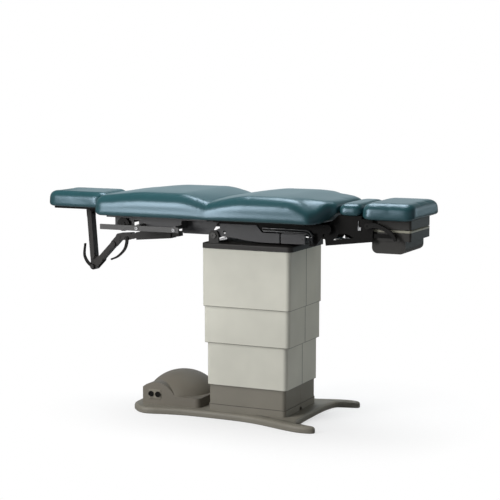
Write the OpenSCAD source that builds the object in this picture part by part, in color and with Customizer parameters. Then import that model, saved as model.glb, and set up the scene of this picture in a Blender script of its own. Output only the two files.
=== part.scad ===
// Procedure table: telescoping lift column, tilting top, hinged back and foot sections, jointed headrest.
// The head end is towards -X, the foot end towards +X, and the floor is at z = 0 under the column's axis.

/* [Base plate] */
// Length of the base plate
base_len = 990; // [900:1:1060]
// Half width of the base plate across its toes
base_half_w = 303; // [285:1:330]
// Thickness of the base plate
base_t = 30; // [20:1:40]
// Radius of the base plate's rounded rim
base_rim_r = 13; // [6:0.5:15]

/* [Pump cover] */
// Length of the pump cover along the base
cover_len = 299; // [280:1:310]
// Depth of the pump cover from front to rear
cover_depth = 350; // [330:1:360]
// Gap between the pump cover and the plinth
cover_gap = 53; // [46:1:60]
// Height of the cover's low box
cover_low_h = 44; // [36:1:56]
// Height of the cover's dome above the base plate
dome_h = 140; // [132:1:150]
// Wall of the cover moulding
cover_wall = 4; // [3:0.5:6]

/* [Lift column] */
// Stroke of the lift column
lift_stroke = 440; // [300:10:440]
// Height of the cap's underside with the column raised
cap_z = 790; // [780:1:800]
// Width of the upper tier along the table
upper_w = 442; // [430:1:450]
// Depth of the upper tier from front to rear
upper_d = 384; // [380:1:388]
// Step between the upper and middle tiers along the table
upper_step = 5; // [5:0.5:6]
// Step between the middle and lower tiers along the table
middle_step = 13.5; // [10:0.5:14]
// Step between the lower tier and the plinth along the table
lower_step = 9; // [7:0.5:10]
// Step between two tiers from front to rear
tier_step_d = 5; // [5:0.5:6]
// Wall of the tiers
tier_wall = 3; // [2:0.25:4]
// Corner radius of the tiers
tier_r = 20; // [14:1:26]
// Height of the upper tier's lower edge with the column raised
upper_z = 521; // [515:1:530]
// Height of the middle tier's lower edge with the column raised
middle_z = 350; // [340:1:360]
// Height of the lower tier's lower edge with the column raised
lower_z = 152; // [140:1:160]
// Overlap of two tiers with the column raised
tier_overlap = 32; // [20:1:45]
// Thickness of the cap's edge
cap_t = 25; // [18:1:30]
// Overhang of the cap at the foot end
cap_foot_over = 10; // [6:1:16]

/* [Mast and lift cylinder] */
// Width of the inner mast tube
mast_w = 110; // [90:1:130]
// Wall of the mast tubes
mast_wall = 7; // [5:0.5:9]
// Sliding clearance between the mast tubes
mast_gap = 0.4; // [0.2:0.1:0.8]
// Radius of the lift ram
ram_r = 19; // [15:0.5:24]

/* [Top] */
// Height of the underside of the back and seat pads
pad_z = 928; // [926:1:932]
// Half width of the back and seat pads
pad_half_w = 305; // [295:1:315]
// Length of the back pad
back_pad_len = 591; // [570:1:600]
// Length of the seat pad
seat_pad_len = 590; // [575:1:600]
// Height of the pads at their shoulders
pad_h = 106; // [98:1:112]
// Crown of the pads over their shoulders
pad_crown = 8; // [2:1:14]
// Half width of the frame channels, outer face
channel_half_w = 172.7; // [165:0.1:173]
// Thickness of the seat side plates
side_plate_t = 6; // [4:0.5:7]

/* [Pivots] */
// Distance of the tilt pivot from the column's axis
tilt_x = 160; // [150:1:170]
// Height of the tilt pivot
tilt_z = 850; // [846:1:854]
// Radius of the tilt pivot pins
tilt_pin_r = 9; // [7:0.5:11]
// Distance of the back hinge from the column's axis
back_hinge_x = 150; // [148:1:152]
// Height of the back hinge above the underside of the pads
back_hinge_rise = 17; // [16:1:19]
// Distance of the foot hinge from the column's axis
foot_hinge_x = 390; // [387:1:394]
// Height of the foot hinge
foot_hinge_z = 900; // [898:1:903]
// Radial running clearance of the pivots
run_gap = 0.05; // [0.02:0.01:0.1]

/* [Back section] */
// Distance from the grey tray's side to an accessory rail's outer face
rail_reach = 75; // [60:1:85]
// Distance from the column's axis to the accessory rails' foot end
rail_start_x = 282; // [275:1:290]
// Length of an accessory rail
rail_len = 412; // [380:1:420]
// Height of an accessory rail's section
rail_h = 24; // [20:0.5:26]
// Thickness of an accessory rail
rail_t = 10; // [8:0.5:12]
// Height of the accessory rails' centre line
rail_z = 878; // [874:1:882]
// Half width across the accessory rails, outer faces
rail_half_w = 305; // [295:1:312]

/* [Headrest] */
// Distance of the arm's elbow from the column's axis
elbow_x = 758; // [752:1:764]
// Height of the arm's elbow
elbow_z = 798; // [794:1:802]
// Distance of the arm's lower pivot from the column's axis
vee_x = 905; // [900:1:910]
// Height of the arm's lower pivot
vee_z = 646; // [640:1:652]
// Distance of the headrest's tilt pivot from the column's axis
nod_x = 926; // [920:1:930]
// Height of the headrest's tilt pivot
nod_z = 921; // [918:1:925]
// Width of the arm's bars across the table
arm_w = 43; // [36:1:48]
// Section of the arm's bars in their own plane
arm_t = 24; // [20:1:28]
// Length of the headrest pad
head_pad_len = 330; // [310:1:336]
// Half width of the headrest pad
head_half_w = 142; // [130:1:155]
// Thickness of the headrest pad at its sides
head_pad_h = 80; // [70:1:86]

/* [Foot section] */
// Length of the knee pad
knee_len = 108; // [98:1:112]
// Half width of the knee pad
knee_half_w = 170; // [160:1:178]
// Length of the foot pad
foot_pad_len = 248; // [240:1:256]
// Half width of the foot pad
foot_half_w = 190; // [180:1:198]
// Thickness of the foot pad
foot_pad_h = 70; // [62:1:76]
// Distance from the column's axis to the foot pad's near end
foot_pad_x = 552; // [550:1:556]
// Height of the foot pad's underside
foot_pad_z = 950; // [949:1:952]
// Length of the housing under the foot pad
housing_len = 217; // [212:1:222]
// Half width of the housing under the foot pad
housing_half_w = 132; // [128:1:136]
// Depth of the treatment pan's bowl
pan_depth = 70; // [50:1:80]

/* [Hidden] */

// Shared values
over = 1;
seat_gap = 0.3;
side_gap = 0.5;
relief = 0.05;
curve_fn = 64;
hull_fn = 32;
half_turn = 180;
right_angle = 90;
full_turn = 360;

// Colours
teal = [0.22, 0.40, 0.44];
shell_grey = [0.80, 0.81, 0.77];
taupe = [0.50, 0.48, 0.43];
charcoal = [0.22, 0.21, 0.21];
plate_grey = [0.32, 0.32, 0.33];
steel = [0.62, 0.63, 0.65];
black = [0.10, 0.10, 0.11];
beige = [0.72, 0.71, 0.62];

// Places along the table, from the column's axis
tilt_px = -tilt_x;
hinge_px = -back_hinge_x;
foot_px = foot_hinge_x;
tray_half_w = rail_half_w - rail_reach;

// Base plate: its edge from the head end's middle to the foot end's middle,
// as shares of the base length and of its half width
base_edge_shares = [[-0.611, 0], [-0.606, -0.333], [-0.590, -0.62], [-0.508, -0.845],
    [-0.398, -0.779], [-0.294, -0.723], [-0.156, -0.710], [-0.013, -0.726], [0.099, -0.795],
    [0.219, -0.927], [0.289, -0.990], [0.339, -1], [0.374, -0.975], [0.387, -0.921],
    [0.369, -0.868], [0.290, -0.800], [0.266, -0.594], [0.259, -0.330], [0.258, 0]];
base_edge_steps = 4;
rim_steps = 4;

// Tiers of the column: half widths along X and Y, outer faces
upper_hx = upper_w / 2;
upper_hy = upper_d / 2;
middle_hx = upper_hx - upper_step;
middle_hy = upper_hy - tier_step_d;
lower_hx = middle_hx - middle_step;
lower_hy = middle_hy - tier_step_d;
plinth_hx = lower_hx - lower_step;
plinth_hy = lower_hy - tier_step_d;
plinth_r = tier_r - tier_wall;
tier_lip_h = 10;
seam_gap = 1.5;
ledge_h = 32;
ledge_out = 2.5;
notch_w = 26;
notch_h = 14;
plinth_top = lower_z + tier_overlap;
lower_top = middle_z + tier_overlap;
middle_top = upper_z + tier_overlap;

// Cap
cap_head_over = 1;
cap_side_over = 4;
cap_hy = upper_hy + cap_side_over;
cap_head = upper_hx + cap_head_over;
cap_foot = upper_hx + cap_foot_over;
cap_r = 22;
cap_crown = 7;
cap_crown_in = 60;
cap_edge_r = 6;
cap_slot_w = 6;
cap_slot_h = 5;
cap_slot_d = 3;
cap_slot_xs = [83, 139];
cap_corner_steps = 6;
cap_top = cap_z + cap_t;

// Mast tubes, inner to outer, and the heights of their ends with the column raised
mid_w = mast_w + 2 * (mast_wall + mast_gap);
outer_w = mid_w + 2 * (mast_wall + mast_gap);
mast_floor_gap = 5;
mast_bottom = base_t;
outer_top = cap_z - lift_stroke - 2 * mast_floor_gap;
mid_bottom = mast_bottom + lift_stroke / 2 + mast_floor_gap;
mid_top = outer_top + lift_stroke / 2;
inner_bottom = mast_bottom + lift_stroke + mast_floor_gap;
head_plate_t = 8;
head_plate_hx = 170;
head_plate_hy = 160;

// Lift cylinder: each stage holds the next one
ram_gap = 0.4;
stage_wall = 6;
stage_r = ram_r + ram_gap + stage_wall;
barrel_r = stage_r + ram_gap + stage_wall;
gland_h = 14;

// Pump cover
cover_end = plinth_hx + cover_gap;
cover_head = cover_end + cover_len;
cover_hy = cover_depth / 2;
cover_r = 24;
dome_place_share = 0.587;
dome_cx = cover_end + cover_len * dome_place_share;
dome_len_share = 0.6;
dome_depth_share = 0.571;
dome_rx = cover_len * dome_len_share;
dome_ry = cover_depth * dome_depth_share;
dome_fn = 40;
dome_sink = 22;
arch_place_share = 0.24;
arch_len_share = 0.36;
arch_cx = cover_head - cover_len * arch_place_share;
arch_rx = cover_len * arch_len_share;
arch_h = 104;
arch_back = 70;
motor_r = 44;
motor_len = cover_len / 2;
motor_y = 55;
motor_lift = 50;
motor_foot_w = 60;
motor_end_t = 12;
tank_share = 0.435;
tank_w = cover_len * tank_share;
tank_d = 90;
tank_h = 62;
tank_y = 80;
tank_wall = 4;
tank_cap_r = 14;
tank_cap_h = 8;
panel_w = 64;
panel_h = 43;
panel_t = 3;
panel_in = 33;
panel_rise = 27;
panel_z = base_t + panel_rise;
panel_r = 4;
socket_r = 13;
socket_h = 6;
socket_rim = 3;
socket_depth = 4;
socket_span = 36;
socket_pin_r = 1.6;
socket_pins = 5;
socket_pin_ring = 5.5;

// Tilt brackets, pins and cylinder
bracket_t = 10;
bracket_gap = 2;
bracket_y = channel_half_w + seat_gap + side_plate_t + bracket_gap;
bracket_half_w = 25;
bracket_r = 24;
pin_head_r = 14;
pin_head_t = 5;
pin_tail = 2;
hex_w = 7;
tilt_latch_z = 832;
tilt_latch_rise = 7;
tilt_latch_len = 38;
tilt_latch_w = 8;
tilt_latch_t = 5;
push_x = 130;
push_z = 895;
push_r = 15;
push_pad_r = 24;
push_pad_t = 7;
tilt_rod_r = 13;
tilt_barrel_r = 25;
tilt_rod_in = 110;
tilt_barrel_len = 185;
tilt_flange_r = 38;
tilt_flange_t = 6;

// Seat frame
channel_t = 20;
channel_z = 880;
deck_t = 9;
deck_z = pad_z - seat_gap - deck_t;
back_hinge_z = pad_z + back_hinge_rise;
deck_lip = 20;
deck_half_w = tray_half_w + deck_lip;
seat_deck_end = 318;
channel_start = 124;
channel_wall = 4;
foot_boss_r = 22;
ear_r = 14;
ear_t = 12;
ear_y = 140;
ear_reach = 44;
ear_foot = 20;
hinge_pin_r = 8;
notch_angle = 38;
pocket_gap = 1;
pocket_half_y = 16;
rib_w = 24;
cheek_t = 6;
cheek_y = 60;
cheek_len = 90;

// Seat side plates: outline in the XZ plane
plate_y = channel_half_w + seat_gap;
plate_top = 905;
plate_arm_top = 872;
plate_low = 828;
plate_left = -134;
plate_notch_x = 50;
plate_notch_in = 79;
plate_end = 164;
plate_belly_x = 12;
plate_bay_z = 846;
plate_bay_dip = 4;
plate_bay_steps = 6;
plate_eye_r = 20;
plate_hole_r = 7;
plate_hole_x = -110;
plate_hole_z = 866;

// Junction box and hose
box_start = 174;
box_len = 116;
box_h = 42;
box_z = 829;
box_t = 12;
box_r = 3;
box_screw_r = 4;
box_screw_h = 2;
box_screw_in = 13;
hose_r = 5;
hose_start = 84;
hose_bend_r = 34;
hose_z = 893;
hose_end = 290;
hose_low = 834;
hose_pair_gap = 2;

// Back cylinder, seen from the back hinge
back_q_x = 120;
back_q_z = 850;
back_lug_out = 10;
back_lug_drop = 80;
back_p_x = hinge_px - back_lug_out;
back_p_z = back_hinge_z - back_lug_drop;
back_cyl_y = 60;
cyl_r = 14;
rod_r = 7;
eye_r = 14;
eye_t = 14;
eye_pin_r = 6;
back_barrel_len = 150;
back_rod_len = 232;
cyl_wall = 4;
cyl_ear_t = 6;
barrel_start = 19;

// Foot cylinder, on the far side
foot_q_x = 150;
foot_q_z = 855;
foot_lug_out = 10;
foot_lug_drop = 70;
foot_p_x = foot_px + foot_lug_out;
foot_p_z = foot_hinge_z - foot_lug_drop;
foot_cyl_y = 60;
foot_barrel_len = 152;
foot_rod_len = 148;

// Back section
tray_head = 655;
tray_foot = 305;
tray_z = 877;
tray_wall = 5;
tray_slot_x = 554;
tray_slot_w = 26;
tray_slot_h = 26;
back_deck_end = 16;
back_deck_head = 690;
bay_start = 334;
bay_top_x = 140;
bay_low_x = 186;
bay_z = 850;
bay_half_w = 168;
bay_wall = 5;
bay_chamfer = 8;
spacer_r = 9;
rail_screw_xs = [307, 499];
rail_screw_r = 8;
rail_screw_h = 4;
rail_lip = 8;
knob_x = 603;
knob_z = 887;
knob_r = 32;
knob_t = 16;
knob_hub_r = 12;
knob_hub_t = 5;
knob_lobes = 8;
knob_flute_r = 5;

// Headrest arm
slide_angle = 5;
slide_len = 330;
sleeve_start = 100;
sleeve_len = 190;
sleeve_wall = 6;
arm_pin_r = 7;
arm_gap = 0.4;
fork_t = 9;
link_w = arm_w - 2 * (fork_t + arm_gap);
bar_w = arm_w - 2 * seat_gap;
boss_r = 17;
pin_button_r = 10;
pin_button_t = 3;
nod_boss_r = 13;
nod_rise = 24;
cushion_plate_t = 9;
cushion_plate_in = 26;
head_pad_z = nod_z + nod_rise;
head_pad_mid = 935;
head_trough = 8;
lever_t = 9;
lever_len = 100;
lever_steps = 5;
tip_share = 0.6;
lever_w = 16;
lever_gap = 0.4;
lever_pin_r = 4;
lever_room = lever_t + 2 * lever_gap;
elbow_lever_shares = [[0, 0], [0.02, -0.14], [-0.06, -0.44], [-0.23, -0.68], [-0.52, -0.92], [-0.83, -1.05]];
post_lever_shares = [[0, 0], [-0.26, 0.19], [-0.42, 0.45], [-0.45, 0.68], [-0.40, 1.08]];
elbow_lever_in = 46;
elbow_lever_drop = 5;
elbow_lever_at = [elbow_x - elbow_lever_in, elbow_z - elbow_lever_drop];

// Foot section
knee_x = 440;
knee_z = 964;
knee_h = 48;
knee_crown = 4;
foot_deck_t = 11;
foot_plate_t = 6;
foot_plate_y = channel_half_w - channel_t - seat_gap - foot_plate_t;
foot_plate_top = knee_z - seat_gap;
foot_plate_low = 876;
foot_plate_end = 600;
foot_heel = 12;
foot_heel_drop = 4;
foot_window_in = 24;
foot_window_z = 852;
foot_window_len = 100;
foot_window_h = 31;
foot_window_shares = [[0, 0], [0.22, 0.87], [0.62, 1], [1, 0.42]];
latch_x = 532;
latch_z = 900;
latch_w = 14;
latch_h = 15;
latch_t = 4;
latch_rod_r = 1.5;
latch_rod_len = 28;
foot_rail_low = 838;
foot_rail_high = 861;
foot_rail_t = 18;
cross_wall_t = 6;
runner_z = 872;
runner_h = 16;
runner_end = 700;
housing_z = 909;
housing_r = 10;
holder_low_z = 800;
holder_mid_z = 858;
holder_top_z = 896;
holder_wall = 4;
tub_start = 586;
tub_end = 742;
tub_half_w = 123;
tub_r = 26;
pan_rim_h = 10;
pan_wall = 2;
pan_in = 8;
pan_teeth = 16;
foot_lever_x = 577;
foot_lever_z = 922;
foot_lever_shares = [[0, 0], [0.34, 0.04], [0.64, -0.04], [0.96, -0.18], [1.18, -0.36], [1.30, -0.54]];
foot_lever_w = 24;
foot_lever_t = 12;
foot_lever_pin_r = 5;

// Cushion sections: lower corner and upper roll as shares of the height, and counts
low_share = 0.17;
roll_share = 0.62;
mid_share = 0.46;
least_share = 0.45;
crown_power = 4;
corner_steps = 3;
roll_steps = 5;
top_spans = 4;
cushion_ends = 6;
cushion_spans = 12;
pad_end_r = 45;
pad_corner_r = 45;
head_end_reach = 260;
head_end_drop = 20;
valley_reach = 130;
valley_dip = 36;
waist_in = 10;
seat_fall_x = 170;
seat_fall = 20;
seat_edge_x = 250;
seat_edge_end = 410;
seat_edge_drop = 60;
seat_narrow_x = 365;
seat_under_x = 372;
seat_end_half_w = 176;
seat_end_r = 24;
seat_lift = 36;
knee_end_r = 30;
knee_corner_r = 30;
foot_end_r = 50;
foot_corner_r = 40;
head_corner_r = 55;

function smooth01(t) = let (c = min(1, max(0, t))) c * c * (3 - 2 * c);

// Point at share t between b and c on a curve through a, b, c and d
function spline(a, b, c, d, t) =
    (2 * b + (c - a) * t + (2 * a - 5 * b + 4 * c - d) * t * t + (3 * b - a - 3 * c + d) * t * t * t) / 2;

function closed_curve(p, steps) = let (n = len(p))
    [for (i = [0 : n - 1]) for (j = [0 : steps - 1])
        spline(p[(i + n - 1) % n], p[i], p[(i + 1) % n], p[(i + 2) % n], j / steps)];

function open_curve(p, steps) = let (n = len(p))
    concat([for (i = [0 : n - 2]) for (j = [0 : steps - 1])
        spline(p[max(0, i - 1)], p[i], p[i + 1], p[min(n - 1, i + 2)], j / steps)], [p[n - 1]]);

// Outward normal of a counterclockwise outline at point i
function outline_normal(p, i) = let (n = len(p), d = p[(i + 1) % n] - p[(i + n - 1) % n])
    [d[1], -d[0]] / norm(d);

function inset_ring(p, d, z) = [for (i = [0 : len(p) - 1])
    let (q = p[i] - outline_normal(p, i) * d) [q[0], q[1], z]];

// Rounded rectangle from x0 to x1, and its half depth
function rect_ring(x0, x1, hy, r, z, steps) =
    [for (k = [0 : 3]) for (j = [0 : steps])
        let (a = half_turn + right_angle * (k + j / steps),
            cx = (k == 0 || k == 3) ? x0 + r : x1 - r,
            cy = (k < 2) ? r - hy : hy - r)
        [cx + r * cos(a), cy + r * sin(a), z]];

// Closed solid through rings that all have the same number of points
module ring_loft(rings) {
    n = len(rings[0]);
    m = len(rings);
    points = [for (ring = rings) for (p = ring) p];
    sides = [for (j = [0 : m - 2]) for (i = [0 : n - 1])
        let (a = j * n + i, b = j * n + (i + 1) % n) each [[a, a + n, b + n], [a, b + n, b]]];
    polyhedron(points, concat([[for (i = [0 : n - 1]) i]], sides,
        [[for (i = [n - 1 : -1 : 0]) (m - 1) * n + i]]), convexity = 6);
}

module rounded_rect(hx, hy, r) {
    square([2 * hx - 2 * r, 2 * hy], center = true);
    square([2 * hx, 2 * hy - 2 * r], center = true);
    for (sx = [-1, 1], sy = [-1, 1])
        translate([sx * (hx - r), sy * (hy - r)]) circle(r, $fn = curve_fn);
}

// Plate drawn in the XZ plane, from y to y + t
module xz_plate(y, t) {
    translate([0, y + t, 0]) rotate([right_angle, 0, 0]) linear_extrude(t) children();
}

// Cylinder along Y through x and z, from y to y + length
module y_pin(x, z, y, length, r) {
    translate([x, y + length, z]) rotate([right_angle, 0, 0]) cylinder(length, r = r, $fn = curve_fn);
}

// Straight bar with round ends in a plane, between two points; its straight part is a hair narrower
module link_shape(a, b, w) {
    d = b - a;
    translate(a) circle(w / 2, $fn = curve_fn);
    translate(b) circle(w / 2, $fn = curve_fn);
    translate(a) rotate(atan2(d[1], d[0])) translate([0, relief - w / 2]) square([norm(d), w - 2 * relief]);
}

// Strip of one width along a smooth line, tapering to its tip
module strip_shape(line, w, tip, steps) {
    p = open_curve(line, steps);
    n = len(p);
    side = [for (i = [0 : n - 1]) let (d = p[min(n - 1, i + 1)] - p[max(0, i - 1)])
        [d[1], -d[0]] / norm(d) * (w + (tip - w) * i / (n - 1)) / 2];
    polygon(concat([for (i = [0 : n - 1]) p[i] + side[i]], [for (i = [n - 1 : -1 : 0]) p[i] - side[i]]));
    translate(p[n - 1]) circle(tip * tip_share, $fn = hull_fn);
}

// Base plate
module base_plate() {
    near = [for (s = base_edge_shares) [s[0] * base_len, s[1] * base_half_w]];
    far = [for (i = [len(near) - 2 : -1 : 1]) [near[i][0], -near[i][1]]];
    edge = closed_curve(concat(near, far), base_edge_steps);
    low_in = base_rim_r / 4;
    color(taupe) ring_loft(concat(
        [inset_ring(edge, low_in, 0), inset_ring(edge, 0, low_in)],
        [for (i = [0 : rim_steps]) let (a = right_angle * i / rim_steps)
            inset_ring(edge, base_rim_r * (1 - cos(a)), base_t - base_rim_r * (1 - sin(a)))]));
}

// One half of a column tier: side is -1 at the front and 1 at the rear
module tier_half(hx, hy, r, z0, z1, lip_hx, lip_hy, side) {
    h = z1 - z0;
    lip = lip_hx > hx;
    difference() {
        union() {
            translate([0, 0, z0]) linear_extrude(h) rounded_rect(hx, hy, r);
            if (lip) translate([0, 0, z1 - tier_lip_h]) linear_extrude(tier_lip_h)
                rounded_rect(lip_hx, lip_hy, r);
        }
        translate([0, 0, z0 - over]) linear_extrude(h + 2 * over)
            rounded_rect(hx - tier_wall, hy - tier_wall, r - tier_wall);
        translate([-2 * hx, side > 0 ? -2 * hy : -seam_gap / 2, z0 - over])
            cube([4 * hx, 2 * hy + seam_gap / 2, h + 2 * over]);
    }
}

module plinth_half(side) {
    color(taupe) difference() {
        union() {
            tier_half(plinth_hx, plinth_hy, plinth_r, base_t, plinth_top,
                lower_hx - tier_wall - seat_gap, lower_hy - tier_wall - seat_gap, side);
            difference() {
                tier_half(plinth_hx + ledge_out, plinth_hy + ledge_out, plinth_r, base_t,
                    base_t + ledge_h, 0, 0, side);
                translate([0, 0, base_t - over]) linear_extrude(ledge_h + 2 * over)
                    rounded_rect(plinth_hx - tier_wall, plinth_hy - tier_wall, plinth_r - tier_wall);
            }
        }
        translate([plinth_hx - notch_w / 2, -notch_w / 2, base_t - over])
            cube([notch_w, notch_w, notch_h + over]);
    }
}

module plinth_front() { plinth_half(-1); }
module plinth_rear() { plinth_half(1); }

module lower_half(side) {
    color(shell_grey) tier_half(lower_hx, lower_hy, tier_r, lower_z, lower_top,
        middle_hx - tier_wall - seat_gap, middle_hy - tier_wall - seat_gap, side);
}
module lower_shroud_front() { lower_half(-1); }
module lower_shroud_rear() { lower_half(1); }

module middle_half(side) {
    color(shell_grey) tier_half(middle_hx, middle_hy, tier_r, middle_z, middle_top,
        upper_hx - tier_wall - seat_gap, upper_hy - tier_wall - seat_gap, side);
}
module middle_shroud_front() { middle_half(-1); }
module middle_shroud_rear() { middle_half(1); }

module upper_half(side) {
    color(shell_grey) tier_half(upper_hx, upper_hy, tier_r, upper_z, cap_z, 0, 0, side);
}
module upper_shroud_front() { upper_half(-1); }
module upper_shroud_rear() { upper_half(1); }

// Square mast tube
module mast_tube(w, z0, z1) {
    h = w / 2;
    color(steel) translate([0, 0, z0]) linear_extrude(z1 - z0) difference() {
        rounded_rect(h, h, mast_wall);
        square(w - 2 * mast_wall, center = true);
    }
}

module mast_outer() { mast_tube(outer_w, mast_bottom, outer_top); }
module mast_middle() { mast_tube(mid_w, mid_bottom, mid_top); }

module mast_inner() {
    mast_tube(mast_w, inner_bottom, cap_z - head_plate_t);
    color(steel) translate([-head_plate_hx, -head_plate_hy, cap_z - head_plate_t]) difference() {
        cube([2 * head_plate_hx, 2 * head_plate_hy, head_plate_t]);
        translate([head_plate_hx + push_x, head_plate_hy, -over])
            cylinder(head_plate_t + 2 * over, r = tilt_barrel_r + seat_gap, $fn = curve_fn);
    }
}

// Lift cylinder
module lift_barrel() {
    color(steel) difference() {
        translate([0, 0, mast_bottom]) cylinder(outer_top - mast_bottom, r = barrel_r, $fn = curve_fn);
        translate([0, 0, mast_bottom + gland_h])
            cylinder(outer_top, r = stage_r + ram_gap, $fn = curve_fn);
    }
}
module lift_stage() {
    color(steel) difference() {
        translate([0, 0, mid_bottom + gland_h])
            cylinder(mid_top - mid_bottom - gland_h, r = stage_r, $fn = curve_fn);
        translate([0, 0, mid_bottom + 2 * gland_h])
            cylinder(mid_top, r = ram_r + ram_gap, $fn = curve_fn);
    }
}
module lift_ram() {
    start = inner_bottom + 2 * gland_h + side_gap;
    color(steel) translate([0, 0, start])
        cylinder(cap_z - head_plate_t - start, r = ram_r, $fn = curve_fn);
}

// Cap of the column
module top_cap() {
    x0 = -cap_head;
    x1 = cap_foot;
    color(charcoal) difference() {
        ring_loft(concat(
            [rect_ring(x0, x1, cap_hy, cap_r, cap_z, cap_corner_steps)],
            [for (i = [0 : rim_steps]) let (a = right_angle * i / rim_steps, d = cap_edge_r * (1 - cos(a)))
                rect_ring(x0 + d, x1 - d, cap_hy - d, cap_r - d,
                    cap_top - cap_edge_r * (1 - sin(a)), cap_corner_steps)],
            [rect_ring(x0 + cap_crown_in, x1 - cap_crown_in, cap_hy - cap_crown_in,
                cap_r - cap_edge_r, cap_top + cap_crown, cap_corner_steps)]));
        for (x = cap_slot_xs) translate([x, -cap_hy - over, cap_z - over])
            cube([cap_slot_w, cap_slot_d + over, cap_slot_h + over]);
        translate([push_x, 0, cap_z - over])
            cylinder(cap_t + cap_crown + 2 * over, r = tilt_rod_r + over, $fn = curve_fn);
        for (side = [-1, 1]) translate([tilt_px, side * (bracket_y + bracket_t / 2), cap_top + cap_t / 2])
            cube([2 * bracket_half_w + 2 * seat_gap, bracket_t + 2 * seat_gap, cap_t], center = true);
    }
}

// Tilt brackets stand on the cap
module tilt_brackets() {
    color(charcoal) for (y = [-bracket_y - bracket_t, bracket_y]) difference() {
        xz_plate(y, bracket_t) {
            translate([tilt_px, tilt_z]) circle(bracket_r, $fn = curve_fn);
            translate([tilt_px - bracket_half_w, cap_top]) square([2 * bracket_half_w, tilt_z - cap_top]);
        }
        y_pin(tilt_px, tilt_z, y - over, bracket_t + 2 * over, tilt_pin_r + run_gap);
    }
}

// Small steel latch lever beside the near bracket
module tilt_latch() {
    x = tilt_px + bracket_half_w;
    color(steel) xz_plate(-bracket_y - tilt_latch_t, tilt_latch_t)
        link_shape([x + tilt_latch_w / 2, tilt_latch_z], [x + tilt_latch_len, tilt_latch_z + tilt_latch_rise], tilt_latch_w);
}

module tilt_pins() {
    inner = plate_y - pin_tail;
    outer = bracket_y + bracket_t + seat_gap;
    color(steel) for (side = [-1, 1]) difference() {
        union() {
            y_pin(tilt_px, tilt_z, side > 0 ? inner : -outer, outer - inner, tilt_pin_r);
            y_pin(tilt_px, tilt_z, side > 0 ? outer : -outer - pin_head_t, pin_head_t, pin_head_r);
        }
        translate([tilt_px, side * (outer + pin_head_t), tilt_z]) rotate([right_angle, 0, 0])
            cylinder(pin_head_t, r = hex_w, $fn = 6, center = true);
    }
}

// Tilt cylinder: barrel under the head plate, rod under the push tube of the seat frame
module tilt_barrel() {
    top = cap_z;
    color(steel) difference() {
        union() {
            translate([push_x, 0, top - tilt_barrel_len])
                cylinder(tilt_barrel_len, r = tilt_barrel_r, $fn = curve_fn);
            translate([push_x, 0, top - head_plate_t - seat_gap - tilt_flange_t])
                cylinder(tilt_flange_t, r = tilt_flange_r, $fn = curve_fn);
        }
        translate([push_x, 0, top - tilt_barrel_len + gland_h])
            cylinder(tilt_barrel_len, r = tilt_rod_r + ram_gap, $fn = curve_fn);
    }
}
module tilt_rod() {
    top = push_z - push_r - side_gap;
    color(steel) translate([push_x, 0, 0]) {
        translate([0, 0, cap_z - tilt_rod_in]) cylinder(top - cap_z + tilt_rod_in, r = tilt_rod_r, $fn = curve_fn);
        translate([0, 0, top - push_pad_t]) cylinder(push_pad_t, r = push_pad_r, $fn = curve_fn);
    }
}

// Pump cover: low box, dome and flat arched front; d is the wall taken off all round
module cover_form(d) {
    drop = d > 0 ? over : 0;
    translate([-cover_head + d, -cover_hy + d, base_t - drop]) linear_extrude(cover_low_h - d + drop)
        translate([cover_len / 2 - d, cover_hy - d]) rounded_rect(cover_len / 2 - d, cover_hy - d, cover_r - d);
    intersection() {
        translate([-dome_cx, 0, base_t - dome_sink])
            scale([(dome_rx - d) / dome_h, (dome_ry - d) / dome_h, (dome_h + dome_sink - d) / dome_h])
                sphere(dome_h, $fn = dome_fn);
        translate([-cover_head + d, -cover_hy + d, base_t - drop])
            cube([cover_len - 2 * d, 2 * cover_hy - 2 * d, 2 * dome_h]);
    }
    intersection() {
        xz_plate(-cover_hy + d, arch_back) translate([-arch_cx, base_t])
            scale([(arch_rx - d) / arch_h, (arch_h - d) / arch_h]) circle(arch_h, $fn = curve_fn);
        translate([-cover_head + d, -cover_hy, base_t - drop])
            cube([cover_len - 2 * d, 2 * cover_hy, 2 * dome_h]);
    }
}
module pump_cover() {
    color(taupe) difference() {
        cover_form(0);
        cover_form(cover_wall);
    }
}
module pump_motor() {
    z = base_t + motor_lift;
    color(plate_grey) {
        translate([-dome_cx - motor_len / 2, motor_y, z]) rotate([0, right_angle, 0])
            cylinder(motor_len, r = motor_r, $fn = curve_fn);
        for (sx = [-1, 1]) translate([-dome_cx + sx * motor_len / 2 - motor_end_t / 2, motor_y - motor_foot_w / 2, base_t])
            cube([motor_end_t, motor_foot_w, motor_lift]);
    }
}
module fluid_reservoir() {
    color(beige) {
        difference() {
            translate([-dome_cx - tank_w / 2, -tank_y - tank_d / 2, base_t]) cube([tank_w, tank_d, tank_h]);
            translate([-dome_cx - tank_w / 2 + tank_wall, -tank_y - tank_d / 2 + tank_wall, base_t + tank_wall])
                cube([tank_w - 2 * tank_wall, tank_d - 2 * tank_wall, tank_h - 2 * tank_wall]);
        }
        translate([-dome_cx, -tank_y, base_t + tank_h]) cylinder(tank_cap_h, r = tank_cap_r, $fn = curve_fn);
    }
}
panel_cx = cover_head - panel_in - panel_w / 2;
module socket_panel() {
    color(beige) xz_plate(-cover_hy - panel_t, panel_t)
        translate([-panel_cx, panel_z + panel_h / 2]) rounded_rect(panel_w / 2, panel_h / 2, panel_r);
}
module control_sockets() {
    y = -cover_hy - panel_t - socket_h;
    color(black) for (s = [-1, 1]) {
        x = -panel_cx + s * socket_span / 2;
        z = panel_z + panel_h / 2;
        difference() {
            y_pin(x, z, y, socket_h, socket_r);
            y_pin(x, z, y - over, socket_depth + over, socket_r - socket_rim);
        }
        for (k = [0 : socket_pins - 1]) y_pin(x + socket_pin_ring * cos(full_turn * k / socket_pins),
            z + socket_pin_ring * sin(full_turn * k / socket_pins), y + over, socket_h - over, socket_pin_r);
    }
}

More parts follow.
